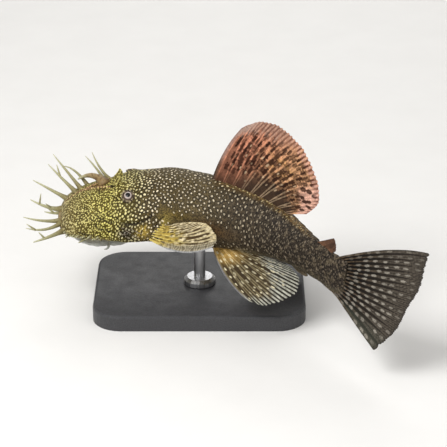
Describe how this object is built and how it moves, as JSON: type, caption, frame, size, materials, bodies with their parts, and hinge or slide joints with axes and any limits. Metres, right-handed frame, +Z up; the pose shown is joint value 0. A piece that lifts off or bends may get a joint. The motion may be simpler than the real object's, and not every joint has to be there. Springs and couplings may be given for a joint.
{
  "type": "bristlenose pleco display model",
  "caption": "Life-size male bristlenose pleco, a bristled armoured catfish, held swimming over a flat display base by one rod.",
  "frame": {"origin": "centre of the display base's underside, under the rod", "axes": "+X towards the tail, +Y towards the fish's right side, away from the picture's camera, +Z up"},
  "size_m": [0.1201, 0.084, 0.0636],
  "materials": {
    "skin": "wet, spotted skin over bony plates",
    "dorsal_membrane": "salmon pink with dark brown spots",
    "fin_membrane": "olive brown with pale spots on the rays",
    "tail_membrane": "dark grey brown with arcs of pale spots",
    "eye": "clear, glossy, dark pupil in a pale ring",
    "stand_plate": "matt charcoal paint",
    "stand_metal": "brushed"
  },
  "bodies": {
    "root": {"head": "skin", "trunk": "skin", "tail_stalk": "skin", "eye_left": "eye", "eye_right": "eye", "dorsal_fin": "dorsal_membrane", "adipose_fin": "fin_membrane", "caudal_fin": "tail_membrane", "anal_fin": "fin_membrane", "pectoral_fin_left": "fin_membrane", "pectoral_fin_right": "fin_membrane", "pelvic_fin_left": "fin_membrane", "pelvic_fin_right": "fin_membrane", "stand_base": "stand_plate", "stand_rod": "stand_metal"}
  },
  "joints": []
}
